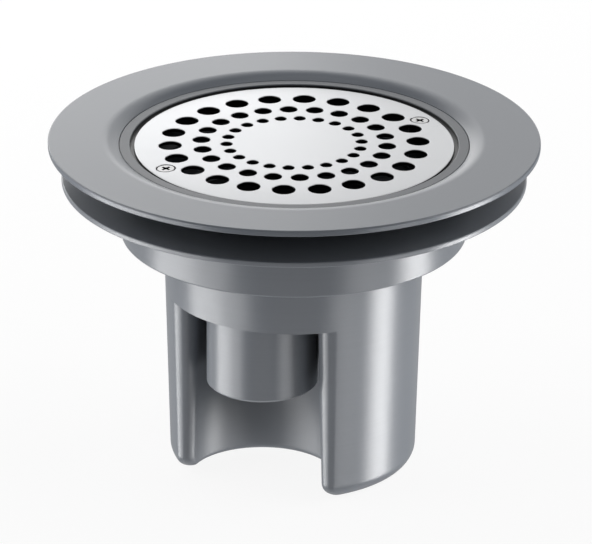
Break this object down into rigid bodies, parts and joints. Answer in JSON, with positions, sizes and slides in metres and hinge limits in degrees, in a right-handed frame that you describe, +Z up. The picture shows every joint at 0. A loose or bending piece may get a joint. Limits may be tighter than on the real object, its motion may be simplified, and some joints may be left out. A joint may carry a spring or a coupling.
{
  "type": "shower trap",
  "caption": "Plastic shower floor trap: perforated steel grate in a wide flange, a sealing flange below it, and a round bowl with a bite in its side for the vertical outlet tube.",
  "frame": {"origin": "on the trap's axis at the underside of the bowl, which is the centre of the bounding box's bottom", "axes": "+Z up along the trap's axis, out of the grate; -Y towards the bite in the bowl's side and the outlet tube in it"},
  "size_m": [0.1764, 0.1764, 0.124],
  "materials": {
    "grey_plastic": "satin",
    "insert_plastic": "satin",
    "stainless": "satin",
    "black_rubber": "matt"
  },
  "bodies": {
    "trap_body": {"lower_body": "grey_plastic", "dip_insert": "insert_plastic", "insert_seal": "black_rubber"},
    "seal_ring": {"spigot_seal": "black_rubber"},
    "top": {"upper_flange": "grey_plastic", "clamp_ring": "grey_plastic", "grate": "stainless", "grate_screw_1": "stainless", "grate_screw_2": "stainless"}
  },
  "joints": [
    {"name": "height_slide", "type": "slide", "parent": "trap_body", "child": "seal_ring", "axis": [0, 0, 1], "range_m": [-0.006, 0.006]},
    {"name": "flange_turn", "type": "hinge", "parent": "seal_ring", "child": "top", "pos_m": [0, 0, 0.1014], "axis": [0, 0, 1], "continuous": true}
  ]
}
